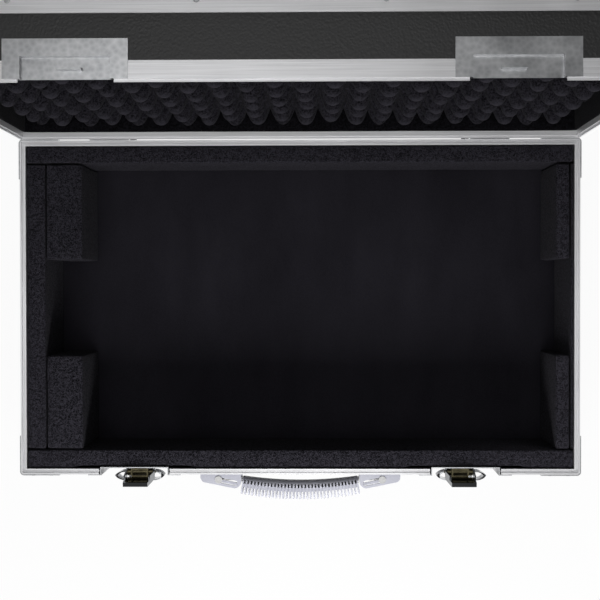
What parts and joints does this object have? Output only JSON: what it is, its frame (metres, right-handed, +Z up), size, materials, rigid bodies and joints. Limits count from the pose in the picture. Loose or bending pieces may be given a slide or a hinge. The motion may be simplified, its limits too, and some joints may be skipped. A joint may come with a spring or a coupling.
{
  "type": "flight case",
  "caption": "Open flight case: foam-lined tray and hinged lid with convoluted foam, aluminium edges, twist latches and a strap handle.",
  "frame": {"origin": "centre of the whole part's footprint, at the underside of the rubber feet", "axes": "+Z up; +X along the long side of the case; -Y is the front with the latches and the handle"},
  "size_m": [0.59, 0.4636, 0.4705],
  "materials": {
    "plywood": "black laminated plywood, fine texture",
    "rim_aluminium": "natural anodised extrusion",
    "zinc_steel": "bright zinc plated pressed steel",
    "chrome": "chrome plated steel",
    "yellow_zinc": "yellow passivated zinc",
    "black_rubber": "moulded rubber",
    "foam": "charcoal open-cell foam",
    "floor_felt": "soft charcoal felt over foam",
    "handle_plastic": "light silver-grey moulded plastic",
    "strap_steel": "spring steel"
  },
  "bodies": {
    "base": {"base_flat_panel": "plywood", "base_front_panel": "plywood", "base_back_panel": "plywood", "base_end_panels": "plywood", "base_rim_front": "rim_aluminium", "base_rim_back": "rim_aluminium", "base_rim_ends": "rim_aluminium", "base_edge_angles": "rim_aluminium", "base_rim_braces": "zinc_steel", "base_ball_corners": "zinc_steel", "base_shell_rivets": "zinc_steel", "base_front_rivets": "zinc_steel", "base_hinge_leaves": "zinc_steel", "hinge_pins": "zinc_steel", "latch_dishes": "zinc_steel", "base_rubber_feet": "black_rubber", "base_stop_buffers": "black_rubber", "foam_back_liner": "foam", "foam_front_liner": "foam", "foam_left_liner": "foam", "foam_right_liner": "foam", "foam_left_back_block": "foam", "foam_left_front_block": "foam", "foam_right_back_block": "foam", "foam_right_front_block": "foam", "foam_floor_pad": "floor_felt", "handle_left_bracket": "handle_plastic", "handle_right_bracket": "handle_plastic"},
    "lid": {"lid_flat_panel": "plywood", "lid_front_panel": "plywood", "lid_back_panel": "plywood", "lid_end_panels": "plywood", "lid_rim_front": "rim_aluminium", "lid_rim_back": "rim_aluminium", "lid_rim_ends": "rim_aluminium", "lid_edge_angles": "rim_aluminium", "lid_rim_braces": "zinc_steel", "lid_ball_corners": "zinc_steel", "lid_shell_rivets": "zinc_steel", "lid_hinge_leaves": "zinc_steel", "lid_keeper_dishes": "zinc_steel", "lid_stop_buffers": "black_rubber", "lid_wall_lining": "foam", "lid_convoluted_foam": "foam"},
    "handle_grip_body": {"handle_grip": "handle_plastic", "handle_strap_sleeve": "black_rubber"},
    "handle_left_end": {"handle_left_pin": "strap_steel", "handle_left_strap_end": "strap_steel"},
    "handle_right_end": {"handle_right_pin": "strap_steel", "handle_right_strap_end": "strap_steel"},
    "left_latch_link_body": {"left_latch_draw_link": "yellow_zinc"},
    "left_latch_claw_body": {"left_latch_claw": "chrome"},
    "left_latch_knob_body": {"left_latch_knob": "chrome"},
    "left_latch_left_wing_body": {"left_latch_left_wing": "chrome"},
    "left_latch_right_wing_body": {"left_latch_right_wing": "chrome"},
    "right_latch_link_body": {"right_latch_draw_link": "yellow_zinc"},
    "right_latch_claw_body": {"right_latch_claw": "chrome"},
    "right_latch_knob_body": {"right_latch_knob": "chrome"},
    "right_latch_left_wing_body": {"right_latch_left_wing": "chrome"},
    "right_latch_right_wing_body": {"right_latch_right_wing": "chrome"}
  },
  "joints": [
    {"name": "lid_hinge", "type": "hinge", "parent": "base", "child": "lid", "pos_m": [0, 0.15368, 0.11715], "axis": [1, 0, 0], "range_deg": [0, 90.8]},
    {"name": "left_latch_turn", "type": "hinge", "parent": "base", "child": "left_latch_knob_body", "pos_m": [-0.172, -0.19562, 0.071], "axis": [0, -1, 0], "range_deg": [0, 180]},
    {"name": "left_latch_draw", "type": "slide", "parent": "base", "child": "left_latch_link_body", "axis": [0, 0, -1], "range_m": [0, 0.006]},
    {"name": "left_latch_claw_tip", "type": "hinge", "parent": "left_latch_link_body", "child": "left_latch_claw_body", "pos_m": [-0.1665, -0.19362, 0.109], "axis": [-1, 0, 0], "range_deg": [0, 15]},
    {"name": "left_latch_left_wing_fold", "type": "hinge", "parent": "left_latch_knob_body", "child": "left_latch_left_wing_body", "pos_m": [-0.179, -0.20262, 0.071], "axis": [0, 0, 1], "range_deg": [0, 70]},
    {"name": "left_latch_right_wing_fold", "type": "hinge", "parent": "left_latch_knob_body", "child": "left_latch_right_wing_body", "pos_m": [-0.165, -0.20262, 0.071], "axis": [0, 0, -1], "range_deg": [0, 70]},
    {"name": "right_latch_turn", "type": "hinge", "parent": "base", "child": "right_latch_knob_body", "pos_m": [0.172, -0.19562, 0.071], "axis": [0, -1, 0], "range_deg": [0, 180]},
    {"name": "right_latch_draw", "type": "slide", "parent": "base", "child": "right_latch_link_body", "axis": [0, 0, -1], "range_m": [0, 0.006]},
    {"name": "right_latch_claw_tip", "type": "hinge", "parent": "right_latch_link_body", "child": "right_latch_claw_body", "pos_m": [0.1665, -0.19362, 0.109], "axis": [-1, 0, 0], "range_deg": [0, 15]},
    {"name": "right_latch_left_wing_fold", "type": "hinge", "parent": "right_latch_knob_body", "child": "right_latch_left_wing_body", "pos_m": [0.165, -0.20262, 0.071], "axis": [0, 0, 1], "range_deg": [0, 70]},
    {"name": "right_latch_right_wing_fold", "type": "hinge", "parent": "right_latch_knob_body", "child": "right_latch_right_wing_body", "pos_m": [0.179, -0.20262, 0.071], "axis": [0, 0, -1], "range_deg": [0, 70]},
    {"name": "handle_lift", "type": "slide", "parent": "base", "child": "handle_grip_body", "axis": [0, -1, 0], "range_m": [0, 0.02]},
    {"name": "handle_left_pin_slide", "type": "slide", "parent": "handle_grip_body", "child": "handle_left_end", "axis": [0.5768, 0.8169, 0], "range_m": [0, 0.02141]},
    {"name": "handle_right_pin_slide", "type": "slide", "parent": "handle_grip_body", "child": "handle_right_end", "axis": [-0.5768, 0.8169, 0], "range_m": [0, 0.02141]}
  ],
  "couplings": [
    {"joint": "left_latch_draw", "follows": "left_latch_turn", "m_per_rad": 0.0019099},
    {"joint": "left_latch_claw_tip", "follows": "left_latch_turn", "ratio": 0.083333},
    {"joint": "right_latch_draw", "follows": "right_latch_turn", "m_per_rad": 0.0019099},
    {"joint": "right_latch_claw_tip", "follows": "right_latch_turn", "ratio": 0.083333},
    {"joint": "handle_left_pin_slide", "follows": "handle_lift", "ratio": 1.0704},
    {"joint": "handle_right_pin_slide", "follows": "handle_lift", "ratio": 1.0704}
  ]
}
